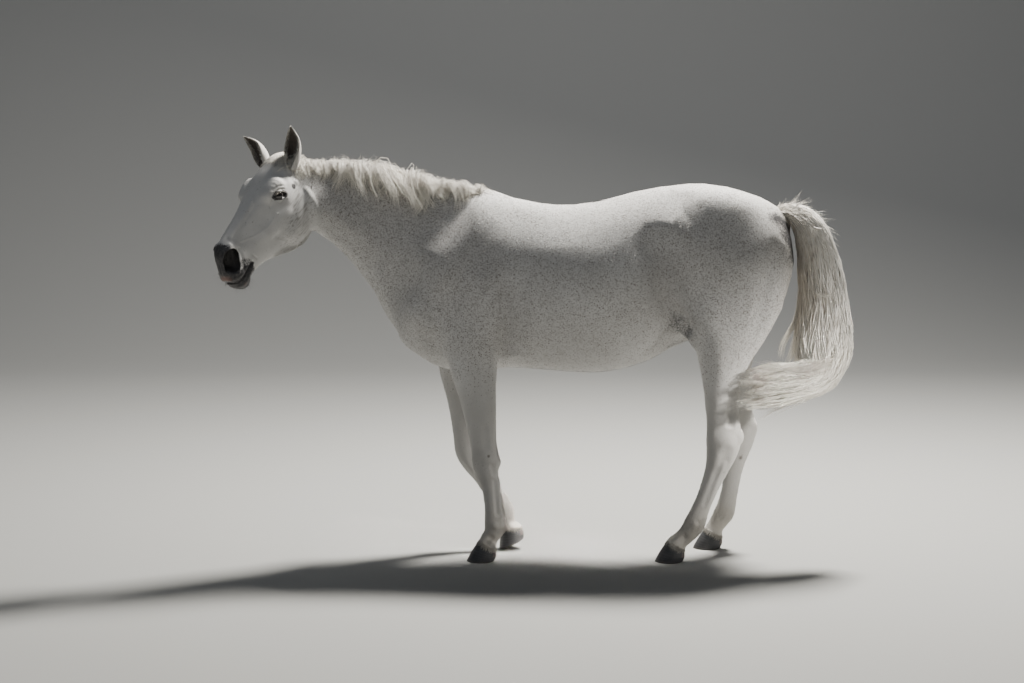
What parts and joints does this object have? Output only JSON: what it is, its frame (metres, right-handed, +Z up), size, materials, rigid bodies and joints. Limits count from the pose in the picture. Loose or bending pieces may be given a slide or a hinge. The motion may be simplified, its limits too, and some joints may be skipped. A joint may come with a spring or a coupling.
{
  "type": "horse",
  "caption": "Still, life-size grey mare standing at rest, head turned to its left, right forefoot resting on its toe, tail swung forward; stands on its hooves.",
  "frame": {"origin": "on the floor, under the middle of the whole horse's box", "axes": "+X from head to tail, +Y to the horse's right, +Z up"},
  "size_m": [2.5876, 0.7938, 1.7925],
  "materials": {
    "white_coat": "short sleek white hair over dark skin, flecked with grey",
    "slate_horn": "dull slate-grey horn",
    "cream_hair": "long cream-white hair",
    "grey_ear": "thin skin with short hair, darker inside",
    "dark_eye": "dark brown, wet and glossy"
  },
  "bodies": {
    "root": {"trunk": "white_coat", "neck": "white_coat", "head": "white_coat", "foreleg_left_upper": "white_coat", "foreleg_left_lower": "white_coat", "foreleg_right_upper": "white_coat", "foreleg_right_lower": "white_coat", "hindleg_left_upper": "white_coat", "hindleg_left_lower": "white_coat", "hindleg_right_upper": "white_coat", "hindleg_right_lower": "white_coat", "hoof_fore_left": "slate_horn", "hoof_fore_right": "slate_horn", "hoof_hind_left": "slate_horn", "hoof_hind_right": "slate_horn", "eye_left": "dark_eye", "eye_right": "dark_eye", "ear_left": "grey_ear", "ear_right": "grey_ear", "forelock": "cream_hair", "mane": "cream_hair", "tail_dock": "cream_hair", "tail_upper": "cream_hair", "tail_middle": "cream_hair", "tail_lower": "cream_hair"}
  },
  "joints": []
}
